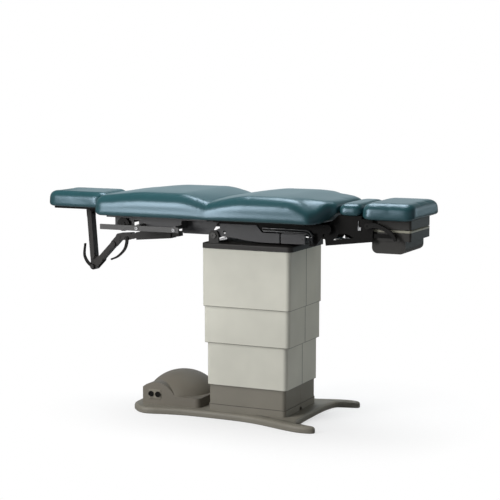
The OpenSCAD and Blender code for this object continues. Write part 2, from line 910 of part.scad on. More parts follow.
// Ear with a bore beside a cylinder's eye
module cylinder_ears(x, z, y, top) {
    for (s = [-1, 1]) xz_plate(s > 0 ? y + eye_t / 2 + side_gap : y - eye_t / 2 - side_gap - cyl_ear_t, cyl_ear_t) {
        translate([x, z]) circle(eye_r, $fn = curve_fn);
        translate([x - eye_r, z]) square([2 * eye_r, top - z]);
    }
}

// Seat frame: two channels, deck, push tube, hinge ears and cylinder ears
module seat_frame() {
    channel_top = deck_z;
    color(black) difference() {
        union() {
            for (s = [-1, 1]) {
                y = s > 0 ? channel_half_w - channel_t : -channel_half_w;
                difference() {
                    xz_plate(y, channel_t) {
                        translate([-channel_start, channel_z]) square([channel_start + foot_px, channel_top - channel_z]);
                        translate([foot_px, foot_hinge_z]) circle(foot_boss_r, $fn = curve_fn);
                    }
                    translate([-channel_start - over, s > 0 ? y - over : y + channel_wall, channel_z + channel_wall])
                        cube([channel_start + foot_px - 2 * foot_boss_r, channel_t - channel_wall + over,
                            channel_top - channel_z - 2 * channel_wall]);
                }
                xz_plate(s > 0 ? ear_y + side_gap : -ear_y - side_gap - ear_t, ear_t) {
                    translate([hinge_px, back_hinge_z]) circle(ear_r, $fn = curve_fn);
                    translate([hinge_px, back_hinge_z - ear_r]) square([ear_reach, ear_r]);
                    translate([hinge_px + ear_foot, deck_z + deck_t / 2])
                        square([ear_reach - ear_foot, back_hinge_z - deck_z - deck_t / 2]);
                }
            }
            difference() {
                translate([hinge_px + back_deck_end, -deck_half_w, deck_z])
                    cube([back_hinge_x - back_deck_end + seat_deck_end, 2 * deck_half_w, deck_t]);
                translate([hinge_px, -back_cyl_y - cyl_r - 2 * side_gap, deck_z - over])
                    cube([2 * ear_reach, 2 * cyl_r + 4 * side_gap, deck_t + 2 * over]);
            }
            y_pin(push_x, push_z, -channel_half_w + channel_wall, 2 * channel_half_w - 2 * channel_wall, push_r);
            cylinder_ears(back_q_x, back_q_z, -back_cyl_y, deck_z + over);
            cylinder_ears(foot_q_x, foot_q_z, foot_cyl_y, deck_z + over);
            for (s = [-1, 1]) xz_plate(s > 0 ? channel_half_w - channel_t : -channel_half_w + channel_t - cheek_t, cheek_t)
                polygon([[foot_px - cheek_y, channel_z + channel_wall], [foot_px - foot_boss_r, channel_z + channel_wall],
                    [foot_px - cheek_y / 2, channel_z - foot_boss_r], [foot_px - cheek_y, channel_z - cheek_y],
                    [foot_px - cheek_len, channel_z - cheek_y]]);
        }
        for (s = [-1, 1]) {
            y_pin(foot_px, foot_hinge_z, s > 0 ? channel_half_w - channel_t - over : -channel_half_w - over,
                channel_t + 2 * over, hinge_pin_r + run_gap);
            y_pin(hinge_px, back_hinge_z, s > 0 ? ear_y : -ear_y - ear_t - 2 * over,
                ear_t + 2 * over, hinge_pin_r + run_gap);
        }
        y_pin(back_q_x, back_q_z, -back_cyl_y - eye_t - cyl_ear_t, 2 * (eye_t + cyl_ear_t), eye_pin_r + run_gap);
        y_pin(foot_q_x, foot_q_z, foot_cyl_y - eye_t - cyl_ear_t, 2 * (eye_t + cyl_ear_t), eye_pin_r + run_gap);
    }
}

// Side plate with its notch, bay and pivot eye
module side_plate(side) {
    y = side > 0 ? plate_y : -plate_y - side_plate_t;
    bay = open_curve([[plate_left, plate_bay_z], [plate_left / 2, plate_bay_z - plate_bay_dip], [plate_belly_x, plate_low + plate_bay_dip],
        [plate_end / 2, plate_low], [plate_end, plate_low]], plate_bay_steps);
    color(plate_grey) difference() {
        xz_plate(y, side_plate_t) {
            polygon(concat(bay, [[plate_end, plate_arm_top], [plate_notch_in, plate_arm_top],
                [plate_notch_x, plate_top], [plate_left, plate_top]]));
            link_shape([tilt_px, tilt_z], [plate_left + plate_eye_r, tilt_z + plate_eye_r], 2 * plate_eye_r);
        }
        y_pin(tilt_px, tilt_z, y - over, side_plate_t + 2 * over, tilt_pin_r + run_gap);
        y_pin(plate_hole_x, plate_hole_z, y - over, side_plate_t + 2 * over, plate_hole_r);
    }
}
module side_plate_near() { side_plate(-1); }
module side_plate_far() { side_plate(1); }

// Junction box at the near side, with its two screws
box_face = -plate_y - box_t;
module junction_box() {
    color(plate_grey) xz_plate(box_face, box_t)
        translate([box_start + box_len / 2, box_z + box_h / 2]) rounded_rect(box_len / 2, box_h / 2, box_r);
    color(plate_grey) translate([box_start, -plate_y, box_z + box_h / 2])
        cube([box_len, seat_gap + channel_wall, channel_z - seat_gap - box_z - box_h / 2]);
}
module box_screws() {
    color(steel) for (x = [box_start + box_screw_in, box_start + box_len - box_screw_in])
        y_pin(x, box_z + box_h / 2, box_face - box_screw_h, box_screw_h, box_screw_r);
}

// Hose pair clipped along the near channel and turned down at the foot end
module hose_run(z, end, r) {
    y = -channel_half_w - hose_r - seat_gap;
    translate([hose_start, y, z]) rotate([0, right_angle, 0]) cylinder(end - hose_start, r = hose_r, $fn = hull_fn);
    translate([end, y, z - r]) rotate([right_angle, 0, 0]) rotate_extrude(angle = right_angle, $fn = curve_fn)
        translate([r, 0]) circle(hose_r, $fn = hull_fn);
    translate([end + r, y, hose_low]) cylinder(z - r - hose_low, r = hose_r, $fn = hull_fn);
}
module hydraulic_hose() {
    pitch = 2 * hose_r + hose_pair_gap;
    color(black) {
        hose_run(hose_z, hose_end, hose_bend_r);
        hose_run(hose_z - pitch, hose_end, hose_bend_r - pitch);
    }
}

module back_hinge_pins() {
    color(steel) for (s = [-1, 1]) y_pin(hinge_px, back_hinge_z, s > 0 ? ear_y - ear_t - over : -ear_y - ear_t - over,
        2 * ear_t + 2 * over, hinge_pin_r);
}

// Cylinder barrel from its eye at q towards p, and its rod
module barrel_shape(q, p, y, length) {
    a = atan2(p[1] - q[1], p[0] - q[0]);
    y_pin(q[0], q[1], y - eye_t / 2, eye_t, eye_r);
    y_pin(q[0], q[1], y - eye_t / 2 - side_gap - cyl_ear_t, eye_t + 2 * side_gap + 2 * cyl_ear_t, eye_pin_r);
    translate([q[0], y, q[1]]) rotate([0, right_angle - a, 0]) difference() {
        union() {
            cylinder(length / 2, r = eye_t / 2, $fn = curve_fn);
            translate([0, 0, barrel_start]) cylinder(length - barrel_start, r = cyl_r, $fn = curve_fn);
        }
        translate([0, 0, barrel_start + cyl_wall]) cylinder(length, r = rod_r + ram_gap, $fn = curve_fn);
    }
}
module rod_shape(q, p, y, length) {
    a = atan2(p[1] - q[1], p[0] - q[0]);
    d = norm(p - q);
    y_pin(p[0], p[1], y - eye_t / 2, eye_t, eye_r);
    translate([q[0], y, q[1]]) rotate([0, right_angle - a, 0]) translate([0, 0, d - length]) {
        cylinder(length - barrel_start, r = rod_r, $fn = curve_fn);
        cylinder(length - eye_pin_r - over, r = eye_t / 2 - over, $fn = curve_fn);
    }
}
module back_barrel() {
    color(steel) barrel_shape([back_q_x, back_q_z], [back_p_x, back_p_z], -back_cyl_y, back_barrel_len);
}
module back_rod() {
    color(steel) rod_shape([back_q_x, back_q_z], [back_p_x, back_p_z], -back_cyl_y, back_rod_len);
}
module foot_barrel() {
    color(steel) barrel_shape([foot_q_x, foot_q_z], [foot_p_x, foot_p_z], foot_cyl_y, foot_barrel_len);
}
module foot_rod() {
    color(steel) rod_shape([foot_q_x, foot_q_z], [foot_p_x, foot_p_z], foot_cyl_y, foot_rod_len);
}

// Back frame: grey tray under the back pad, dark hinge bay, ears and the back cylinder's lug
module back_frame() {
    bay_top = deck_z + over;
    color(plate_grey) difference() {
        union() {
            translate([-back_deck_head, -deck_half_w, deck_z])
                cube([back_deck_head - back_hinge_x - back_deck_end, 2 * deck_half_w, deck_t]);
            difference() {
                translate([-tray_head, -tray_half_w, tray_z])
                    cube([tray_head - tray_foot, 2 * tray_half_w, deck_z - tray_z]);
                translate([-tray_head + tray_wall, -tray_half_w + tray_wall, tray_z - over])
                    cube([tray_head - tray_foot - 2 * tray_wall, 2 * tray_half_w - 2 * tray_wall, deck_z - tray_z + over]);
                translate([-tray_slot_x, -tray_half_w - over, tray_z + tray_wall])
                    cube([tray_slot_w, 2 * tray_half_w + 2 * over, tray_slot_h]);
            }
            for (s = [-1, 1]) xz_plate(s > 0 ? bay_half_w - bay_wall : -bay_half_w, bay_wall)
                polygon([[-bay_start, bay_top], [-bay_start, bay_z + bay_chamfer], [-bay_start + bay_chamfer, bay_z],
                    [-bay_low_x, bay_z], [-bay_top_x, bay_top]]);
            translate([-bay_start, -bay_half_w, bay_z + bay_chamfer])
                cube([bay_wall, 2 * bay_half_w, bay_top - bay_z - bay_chamfer]);
            for (s = [-1, 1]) xz_plate(s > 0 ? ear_y - ear_t : -ear_y, ear_t) {
                translate([hinge_px, back_hinge_z]) circle(ear_r, $fn = curve_fn);
                translate([hinge_px - ear_reach, back_hinge_z - ear_r]) square([ear_reach, ear_r]);
                translate([hinge_px - ear_reach, deck_z + deck_t / 2])
                    square([ear_reach - ear_foot, back_hinge_z - deck_z - deck_t / 2]);
            }
            xz_plate(-back_cyl_y - eye_t / 2 - side_gap - cyl_ear_t, cyl_ear_t) {
                link_shape([back_p_x, back_p_z], [back_p_x - rib_w, deck_z - eye_r], 2 * eye_r);
                translate([back_p_x - rib_w - eye_r, deck_z - eye_r]) square([2 * eye_r, eye_r + over]);
            }
        }
        for (s = [-1, 1]) y_pin(hinge_px, back_hinge_z, s > 0 ? ear_y - ear_t - over : -ear_y - over,
            ear_t + 2 * over, hinge_pin_r + run_gap);
        for (s = [-1, 1], x = rail_screw_xs) y_pin(-x, rail_z,
            s > 0 ? tray_half_w - 2 * tray_wall : -tray_half_w - over, 2 * tray_wall + over, rail_screw_r / 2);
    }
}

// Accessory rail with its stand-off spacers
module side_rail(side) {
    y = side > 0 ? rail_half_w - rail_t : -rail_half_w;
    color(plate_grey) {
        translate([-rail_start_x - rail_len, y, rail_z - rail_h / 2]) cube([rail_len, rail_t, rail_h]);
        for (x = rail_screw_xs) y_pin(-x, rail_z + rail_h / 3,
            side > 0 ? tray_half_w : -rail_half_w + rail_t, rail_half_w - rail_t - tray_half_w, spacer_r);
    }
}
module side_rail_near() { side_rail(-1); }
module side_rail_far() { side_rail(1); }

module rail_screws() {
    color(steel) for (s = [-1, 1], x = rail_screw_xs) difference() {
        y_pin(-x, rail_z, s > 0 ? rail_half_w : -rail_half_w - rail_screw_h, rail_screw_h, rail_screw_r);
        y_pin(-x, rail_z, s > 0 ? rail_half_w + rail_screw_h / 2 : -rail_half_w - rail_screw_h - over,
            rail_screw_h / 2 + over, rail_screw_r / 2);
    }
}

module clamp_knob() {
    y = -tray_half_w - seat_gap - knob_t;
    color(charcoal) difference() {
        union() {
            y_pin(-knob_x, knob_z, y, knob_t, knob_r);
            y_pin(-knob_x, knob_z, y - knob_hub_t, knob_hub_t, knob_hub_r);
        }
        for (k = [0 : knob_lobes - 1]) let (a = full_turn * k / knob_lobes)
            y_pin(-knob_x + (knob_r + knob_flute_r / 2) * cos(a), knob_z + (knob_r + knob_flute_r / 2) * sin(a),
                y - over, knob_t + 2 * over, knob_flute_r);
    }
}

// The slide bar leans by its rise; the arm's own plane is y = 0
module along_slide() {
    translate([-elbow_x, 0, elbow_z]) rotate([0, -slide_angle, 0]) children();
}
module head_sleeve() {
    hz = arm_t / 2 + seat_gap + sleeve_wall;
    hy = arm_w / 2 + seat_gap + sleeve_wall;
    color(charcoal) difference() {
        union() {
            along_slide() translate([sleeve_start, -hy, -hz]) cube([sleeve_len, 2 * hy, 2 * hz]);
            xz_plate(-hy, 2 * hy) polygon([[-elbow_x + sleeve_start + hz, elbow_z + hz],
                [-elbow_x + sleeve_start + sleeve_len - hz, elbow_z + hz],
                [-elbow_x + sleeve_start + sleeve_len - hz, deck_z], [-elbow_x + sleeve_start + 2 * hz, deck_z]]);
        }
        along_slide() translate([0, -arm_w / 2 - seat_gap, -arm_t / 2 - seat_gap])
            cube([slide_len + over, arm_w + 2 * seat_gap, arm_t + 2 * seat_gap]);
    }
}

// Fork and tongue joints of the arm: the tongue has the bore, the fork carries the pin
module tongue(a, b, r) {
    xz_plate(-link_w / 2, link_w) difference() {
        link_shape(a, b, 2 * r);
        translate(a) circle(arm_pin_r + run_gap, $fn = curve_fn);
    }
}
module fork(a, b, r, near_out) {
    near_y = -arm_w / 2 - near_out;
    for (s = [-1, 1]) xz_plate(s > 0 ? link_w / 2 + arm_gap : -arm_w / 2, fork_t) link_shape(a, b, 2 * r);
    y_pin(a[0], a[1], near_y, arm_w / 2 - near_y, arm_pin_r);
    y_pin(a[0], a[1], near_y - pin_button_t, pin_button_t, pin_button_r);
    y_pin(a[0], a[1], arm_w / 2, pin_button_t, pin_button_r);
}

elbow = [-elbow_x, elbow_z];
vee = [-vee_x, vee_z];
nod = [-nod_x, nod_z];
slide_dir = [cos(slide_angle), sin(slide_angle)];
link_dir = (vee - elbow) / norm(vee - elbow);
post_dir = (nod - vee) / norm(nod - vee);
joint_reach = 2 * boss_r + 2 * arm_t / 3;

module head_slide_bar() {
    color(charcoal) {
        along_slide() translate([joint_reach, -bar_w / 2, -arm_t / 2]) cube([slide_len - joint_reach, bar_w, arm_t]);
        fork(elbow, elbow + slide_dir * (joint_reach + arm_t / 3), boss_r, 0);
        y_pin(-elbow_lever_at[0], elbow_lever_at[1], -arm_w / 2 - lever_room - pin_button_t,
            lever_room + pin_button_t + fork_t / 2, lever_pin_r);
    }
}
module head_link() {
    near = elbow + link_dir * joint_reach;
    far = vee - link_dir * joint_reach;
    color(charcoal) {
        tongue(elbow, near, boss_r);
        xz_plate(-bar_w / 2, bar_w) link_shape(near, far, arm_t);
        fork(vee, far, boss_r, lever_room);
    }
}
module head_post() {
    near = vee + post_dir * joint_reach;
    far = nod - post_dir * (2 * nod_boss_r);
    color(charcoal) {
        tongue(vee, near, boss_r);
        xz_plate(-bar_w / 2, bar_w) link_shape(near, far, arm_t);
        fork(nod, far, nod_boss_r, 0);
    }
}
module lever_shape(at, line, y, w, t, tip, pin) {
    xz_plate(y, t) difference() {
        translate(at) union() {
            strip_shape([for (p = line) p * lever_len], w, tip, lever_steps);
            circle(pin + w / 3, $fn = curve_fn);
        }
        translate(at) circle(pin + run_gap, $fn = curve_fn);
    }
}
module elbow_lever() {
    color(black) lever_shape([-elbow_lever_at[0], elbow_lever_at[1]], elbow_lever_shares,
        -arm_w / 2 - lever_gap - lever_t, lever_w, lever_t, lever_w / 2, lever_pin_r);
}
module post_lever() {
    color(black) lever_shape(vee, post_lever_shares, -arm_w / 2 - lever_gap - lever_t,
        lever_w, lever_t, lever_w / 2, arm_pin_r);
}

// Headrest base plate with the tongue of the tilt joint
module headrest_base() {
    x0 = -head_pad_mid - head_pad_len / 2 + cushion_plate_in;
    x1 = -head_pad_mid + head_pad_len / 2 - cushion_plate_in;
    z = head_pad_z - seat_gap - cushion_plate_t;
    color(black) {
        translate([(x0 + x1) / 2, 0, z]) linear_extrude(cushion_plate_t)
            rounded_rect((x1 - x0) / 2, head_half_w - cushion_plate_in, head_corner_r - cushion_plate_in);
        difference() {
            xz_plate(-link_w / 2, link_w) {
                translate(nod) circle(nod_boss_r, $fn = curve_fn);
                translate(nod - [nod_boss_r, 0]) square([2 * nod_boss_r, z - nod_z + over]);
            }
            y_pin(nod[0], nod[1], -link_w, 2 * link_w, arm_pin_r + run_gap);
        }
    }
}

// Cushions: rings along X. Each half ring has a small lower corner, a side that rolls over
// into the top, and a crowned top that may fall towards the side
function crown_at(y, w, crown) = crown * (1 - pow(y / w, crown_power));
function fall_at(y, fall) = fall * smooth01((y - seat_end_half_w) / (pad_half_w - seat_end_half_w));
function half_ring(w, zb, zt, crown, fall) =
    let (h = zt - fall_at(w, fall) - zb, low_r = low_share * h, roll = roll_share * h, zm = zb + mid_share * h)
    concat([for (i = [0 : corner_steps]) let (a = right_angle * i / corner_steps)
            [w - low_r * (1 - sin(a)), zb + low_r * (1 - cos(a))]],
        [for (i = [0 : roll_steps]) let (a = right_angle * i / roll_steps, y = w - roll * (1 - cos(a)))
            [y, zm + (zt + crown_at(y, w, crown) - fall_at(y, fall) - zm) * sin(a)]],
        [for (i = [1 : top_spans]) let (y = (w - roll) * (1 - i / top_spans))
            [y, zt + crown_at(y, w, crown) - fall_at(y, fall)]]);
function cushion_ring(x, w, zb, zt, crown, fall) =
    let (p = half_ring(w, zb, zt, crown, fall), n = len(p))
    concat([for (q = p) [x, q[0], q[1]]], [for (i = [n - 2 : -1 : 0]) [x, -p[i][0], p[i][1]]]);

// Places along a pad: close together where its ends round over
function end_steps(r, n) = [for (i = [0 : n - 1]) r * (1 - cos(right_angle * i / n))];
function pad_places(x0, x1, r0, r1) = concat(
    [for (d = end_steps(r0, cushion_ends)) x0 + d],
    [for (i = [0 : cushion_spans]) x0 + r0 + (x1 - r1 - x0 - r0) * i / cushion_spans],
    [for (i = [cushion_ends - 1 : -1 : 0]) x1 - end_steps(r1, cushion_ends)[i]]);

// Share of full height at distance d from a rounded end
function end_share(d, r, least) = least + (1 - least) * sqrt(max(0, 1 - pow(max(0, 1 - d / r), 2)));
// Loss of half width at distance d from an end with a plan corner radius
function corner_loss(d, r) = r - sqrt(max(0, r * r - pow(max(0, r - d), 2)));

module back_seat_pad(x0, x1, cut) {
    color(teal) difference() {
        children();
        for (s = [-1, 1]) {
            y_pin(hinge_px, back_hinge_z, s * ear_y - pocket_half_y, 2 * pocket_half_y, ear_r + pocket_gap);
            translate([hinge_px - ear_reach - pocket_gap, s * ear_y - pocket_half_y, pad_z - over])
                cube([2 * ear_reach + 2 * pocket_gap, 2 * pocket_half_y, back_hinge_z - pad_z + 2 * over]);
        }
        translate([hinge_px + cut * side_gap, -2 * pad_half_w, back_hinge_z]) rotate([0, cut * notch_angle, 0])
            translate([cut > 0 ? -2 * pad_h : 0, 0, -2 * pad_h]) cube([2 * pad_h, 4 * pad_half_w, 6 * pad_h]);
    }
}

module back_pad() {
    x0 = hinge_px - back_pad_len;
    x1 = hinge_px - side_gap;
    color(teal) back_seat_pad(x0, x1, -1) ring_loft([for (x = pad_places(x0, x1, pad_end_r, pad_end_r))
        let (d = x - x0, v = 1 - smooth01((x1 - x) / valley_reach), h = end_share(d, pad_end_r, least_share),
            w = pad_half_w - corner_loss(d, pad_corner_r) - waist_in * v,
            zt = pad_z + pad_h - valley_dip * v - head_end_drop * (1 - smooth01(d / head_end_reach)),
            lost = (zt - pad_z) * (1 - h))
        cushion_ring(x, w, pad_z + lost * mid_share, zt - lost * (1 - mid_share), pad_crown * h, 0)]);
}

module seat_pad() {
    x0 = hinge_px + side_gap;
    x1 = hinge_px + seat_pad_len;
    color(teal) back_seat_pad(x0, x1, 1) ring_loft([for (x = pad_places(x0, x1, pad_end_r, seat_end_r))
        let (v = 1 - smooth01((x - x0) / valley_reach), h = end_share(x1 - x, seat_end_r, least_share),
            w = pad_half_w + (seat_end_half_w - pad_half_w) * smooth01((x - seat_narrow_x) / (x1 - seat_narrow_x))
                - waist_in * v,
            zb = pad_z + seat_lift * smooth01((x - seat_under_x) / (x1 - seat_under_x)),
            zt = pad_z + pad_h - seat_fall * smooth01((x - seat_fall_x) / (x1 - seat_fall_x)) - valley_dip * v,
            fall = seat_edge_drop * smooth01((x - seat_edge_x) / (seat_edge_end - seat_edge_x)),
            lost = (zt - zb) * (1 - h))
        cushion_ring(x, w, zb + lost * mid_share, zt - lost * (1 - mid_share), pad_crown * h, fall)]);
}

// Plain rounded cushion between two ends
module small_pad(x0, x1, hw, zb, h, crown, end_r, corner_r) {
    color(teal) ring_loft([for (x = pad_places(x0, x1, end_r, end_r))
        let (d = min(x - x0, x1 - x), k = end_share(d, end_r, least_share), w = hw - corner_loss(d, corner_r))
        cushion_ring(x, w, zb + h * (1 - k) * mid_share, zb + h * (1 - (1 - k) * (1 - mid_share)), crown * k, 0)]);
}
module headrest_pad() {
    small_pad(-head_pad_mid - head_pad_len / 2, -head_pad_mid + head_pad_len / 2, head_half_w,
        head_pad_z, head_pad_h, -head_trough, pad_end_r, head_corner_r);
}
module knee_pad() {
    small_pad(knee_x + side_gap, knee_x + knee_len, knee_half_w, knee_z, knee_h, knee_crown,
        knee_end_r, knee_corner_r);
}
module foot_pad() {
    small_pad(foot_pad_x, foot_pad_x + foot_pad_len, foot_half_w, foot_pad_z, foot_pad_h, knee_crown,
        foot_end_r, foot_corner_r);
}

// Foot frame: hinge plates with their window, deck under the knee pad, cross wall and pan runners
module foot_frame() {
    color(black) difference() {
        union() {
            for (s = [-1, 1]) {
                y = s > 0 ? foot_plate_y : -foot_plate_y - foot_plate_t;
                difference() {
                    xz_plate(y, foot_plate_t) {
                        translate([foot_px, foot_hinge_z]) circle(foot_boss_r, $fn = curve_fn);
                        polygon([[foot_px, foot_hinge_z + foot_boss_r], [knee_x, foot_plate_top],
                            [knee_x + knee_len, foot_plate_top], [knee_x + knee_len, foot_pad_z - seat_gap],
                            [foot_plate_end, foot_pad_z - seat_gap], [foot_plate_end, foot_rail_high - foot_rail_t / 2],
                            [foot_px + foot_boss_r, foot_rail_low - foot_rail_t / 2],
                            [foot_px - foot_heel, foot_rail_low - foot_rail_t / 2 - foot_heel_drop],
                            [foot_px - foot_boss_r, foot_hinge_z]]);
                    }
                    xz_plate(y - over, foot_plate_t + 2 * over)
                        polygon([for (p = foot_window_shares) [foot_px + foot_window_in + p[0] * foot_window_len,
                            foot_window_z + p[1] * foot_window_h]]);
                }
                y_pin(foot_px, foot_hinge_z, s > 0 ? foot_plate_y : -channel_half_w, channel_half_w - foot_plate_y, hinge_pin_r);
                translate([foot_pad_x + housing_r, s > 0 ? housing_half_w + seat_gap : -foot_plate_y, runner_z])
                    cube([runner_end - foot_pad_x - housing_r, foot_plate_y - housing_half_w - seat_gap, runner_h]);
            }
            y_pin(foot_px, foot_hinge_z, -foot_plate_y, 2 * foot_plate_y, foot_boss_r / 2);
            translate([knee_x + seat_gap, -foot_plate_y, foot_plate_top - foot_deck_t])
                cube([knee_len, 2 * foot_plate_y, foot_deck_t]);
            translate([foot_pad_x - seat_gap - cross_wall_t, -foot_plate_y, foot_plate_low])
                cube([cross_wall_t, 2 * foot_plate_y, foot_pad_z - seat_gap - foot_plate_low]);
            xz_plate(foot_cyl_y + eye_t / 2 + side_gap, cyl_ear_t)
                link_shape([foot_px, foot_hinge_z], [foot_p_x, foot_p_z], 2 * eye_r);
        }
        y_pin(foot_p_x, foot_p_z, foot_cyl_y, 2 * eye_t + cyl_ear_t, eye_pin_r + run_gap);
    }
    color(black) y_pin(foot_lever_x, foot_lever_z, -foot_plate_y - foot_plate_t - foot_lever_t - 2 * side_gap,
        foot_plate_t + foot_lever_t + 2 * side_gap, foot_lever_pin_r);
}

// Steel latch with its rod on the near plate
module foot_latch() {
    y = -foot_plate_y - foot_plate_t - latch_t;
    color(steel) {
        xz_plate(y, latch_t) translate([latch_x, latch_z]) square([latch_w, latch_h]);
        translate([latch_x + latch_rod_r, y + latch_t / 2, latch_z + latch_h - over])
            cylinder(latch_rod_len + over, r = latch_rod_r, $fn = hull_fn);
    }
}

module foot_housing() {
    top = foot_pad_z - seat_gap;
    color(charcoal) difference() {
        translate([foot_pad_x + housing_len / 2, 0, housing_z]) linear_extrude(top - housing_z)
            rounded_rect(housing_len / 2, housing_half_w, housing_r);
        translate([foot_pad_x + holder_wall, -housing_half_w + holder_wall, housing_z - over])
            cube([housing_len - 2 * holder_wall, 2 * housing_half_w - 2 * holder_wall, top - housing_z - holder_wall + over]);
    }
}

module foot_lever() {
    color(black) lever_shape([foot_lever_x, foot_lever_z], foot_lever_shares,
        -foot_plate_y - foot_plate_t - side_gap - foot_lever_t, foot_lever_w, foot_lever_t,
        foot_lever_w / 2, foot_lever_pin_r);
}

// Pull-out holder: flange tray over a narrower tub with rounded lower corners
module tub_profile(x0, x1, z0, z1, r) {
    translate([x0 + r, z0 + r]) circle(r, $fn = curve_fn);
    translate([x1 - r, z0 + r]) circle(r, $fn = curve_fn);
    translate([x0 + r, z0]) square([x1 - x0 - 2 * r, z1 - z0]);
    translate([x0, z0 + r]) square([x1 - x0, z1 - z0 - r]);
}
module pan_holder() {
    w = holder_wall;
    color(black) difference() {
        union() {
            translate([foot_pad_x + housing_len / 2, 0, holder_mid_z]) linear_extrude(holder_top_z - holder_mid_z)
                rounded_rect(housing_len / 2, housing_half_w, housing_r);
            xz_plate(-tub_half_w, 2 * tub_half_w) tub_profile(tub_start, tub_end, holder_low_z, holder_mid_z + over, tub_r);
        }
        xz_plate(-tub_half_w + w, 2 * tub_half_w - 2 * w)
            tub_profile(tub_start + w, tub_end - w, holder_low_z + w, holder_top_z + over, tub_r - w);
    }
}

// Treatment pan: scalloped rim on the holder, bowl hanging inside the tub
module treatment_pan() {
    z = holder_top_z;
    x0 = tub_start + pan_in;
    x1 = tub_end - pan_in;
    hy = tub_half_w - pan_in;
    tooth = 2 * (housing_half_w - housing_r) / pan_teeth;
    color(beige) difference() {
        union() {
            translate([foot_pad_x + housing_len / 2, 0, z]) linear_extrude(pan_rim_h)
                rounded_rect(housing_len / 2, housing_half_w, housing_r);
            xz_plate(-hy, 2 * hy) tub_profile(x0, x1, z - pan_depth, z + over, tub_r - pan_in);
        }
        xz_plate(-hy + pan_wall, 2 * hy - 2 * pan_wall)
            tub_profile(x0 + pan_wall, x1 - pan_wall, z - pan_depth + pan_wall, z + pan_rim_h + over, tub_r - pan_in - pan_wall);
        for (k = [0 : pan_teeth - 1]) translate([foot_pad_x + housing_len, -housing_half_w + housing_r + (k + 0.5) * tooth, z + pan_rim_h])
            rotate([0, -right_angle, 0]) cylinder(pan_in, r = tooth / 3, $fn = hull_fn);
    }
}

base_plate();
plinth_front();
plinth_rear();
color(steel) mast_outer();
lift_barrel();
pump_cover();
pump_motor();
fluid_reservoir();
socket_panel();
control_sockets();
lower_shroud_front();
lower_shroud_rear();
middle_shroud_front();
middle_shroud_rear();
mast_middle();
lift_stage();
upper_shroud_front();
upper_shroud_rear();
mast_inner();
lift_ram();
top_cap();
tilt_brackets();
tilt_latch();
tilt_pins();
tilt_barrel();
tilt_rod();
seat_frame();
side_plate_near();
side_plate_far();
seat_pad();
hydraulic_hose();
junction_box();
box_screws();
back_hinge_pins();
back_barrel();
back_rod();
back_frame();
back_pad();
side_rail_near();
side_rail_far();
rail_screws();
clamp_knob();
head_sleeve();
head_slide_bar();
head_link();
elbow_lever();
head_post();
post_lever();
headrest_base();
headrest_pad();
foot_frame();
foot_latch();
foot_housing();
knee_pad();
foot_pad();
foot_lever();
pan_holder();
treatment_pan();
foot_barrel();
foot_rod();
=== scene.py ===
# Procedure table: finishes, cushions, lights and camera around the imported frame
import math
import bpy
import bmesh
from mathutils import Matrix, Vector


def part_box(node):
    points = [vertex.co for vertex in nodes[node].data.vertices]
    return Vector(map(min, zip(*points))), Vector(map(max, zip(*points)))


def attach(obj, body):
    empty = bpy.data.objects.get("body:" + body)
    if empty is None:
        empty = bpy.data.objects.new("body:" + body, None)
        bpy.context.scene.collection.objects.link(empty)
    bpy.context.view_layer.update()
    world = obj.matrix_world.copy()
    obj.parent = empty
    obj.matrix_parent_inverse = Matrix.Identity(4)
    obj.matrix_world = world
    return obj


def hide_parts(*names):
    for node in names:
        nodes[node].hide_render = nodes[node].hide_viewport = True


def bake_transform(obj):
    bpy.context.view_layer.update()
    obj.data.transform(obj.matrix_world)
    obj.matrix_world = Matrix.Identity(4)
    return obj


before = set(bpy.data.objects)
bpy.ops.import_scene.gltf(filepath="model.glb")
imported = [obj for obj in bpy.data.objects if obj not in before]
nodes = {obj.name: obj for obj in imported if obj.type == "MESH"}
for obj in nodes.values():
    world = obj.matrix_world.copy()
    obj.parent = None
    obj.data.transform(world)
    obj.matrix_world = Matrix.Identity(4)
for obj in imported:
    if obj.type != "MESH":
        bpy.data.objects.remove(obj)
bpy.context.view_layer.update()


def newMaterial(name, color, roughness, metallic=0.0):
    mat = bpy.data.materials.new(name)
    mat.use_nodes = True
    tree = mat.node_tree
    shader = tree.nodes["Principled BSDF"]
    shader.inputs["Base Color"].default_value = (*color, 1)
    shader.inputs["Roughness"].default_value = roughness
    shader.inputs["Metallic"].default_value = metallic
    return mat, tree, shader


def addBump(tree, shader, scale, strength, height, detail=2.0):
    # fine grain on the surface; scale is in grains per metre, height in metres
    coords = tree.nodes.new("ShaderNodeTexCoord")
    noise = tree.nodes.new("ShaderNodeTexNoise")
    noise.inputs["Scale"].default_value = scale
    noise.inputs["Detail"].default_value = detail
    bump = tree.nodes.new("ShaderNodeBump")
    bump.inputs["Strength"].default_value = strength
    bump.inputs["Distance"].default_value = height
    tree.links.new(coords.outputs["Object"], noise.inputs["Vector"])
    tree.links.new(noise.outputs["Fac"], bump.inputs["Height"])
    tree.links.new(bump.outputs["Normal"], shader.inputs["Normal"])
    return coords


toneLook = {"detail": 3, "start": 0.35, "end": 0.65}


def addTone(tree, shader, coords, color, spread, scale):
    # slow change of tone over the surface, a little under and over the colour
    noise = tree.nodes.new("ShaderNodeTexNoise")
    noise.inputs["Scale"].default_value = scale
    noise.inputs["Detail"].default_value = toneLook["detail"]
    ramp = tree.nodes.new("ShaderNodeValToRGB")
    darker, lighter = ramp.color_ramp.elements
    darker.position = toneLook["start"]
    lighter.position = toneLook["end"]
    darker.color = (*[c * (1 - spread) for c in color], 1)
    lighter.color = (*[c * (1 + spread) for c in color], 1)
    tree.links.new(coords.outputs["Object"], noise.inputs["Vector"])
    tree.links.new(noise.outputs["Fac"], ramp.inputs["Fac"])
    tree.links.new(ramp.outputs["Color"], shader.inputs["Base Color"])


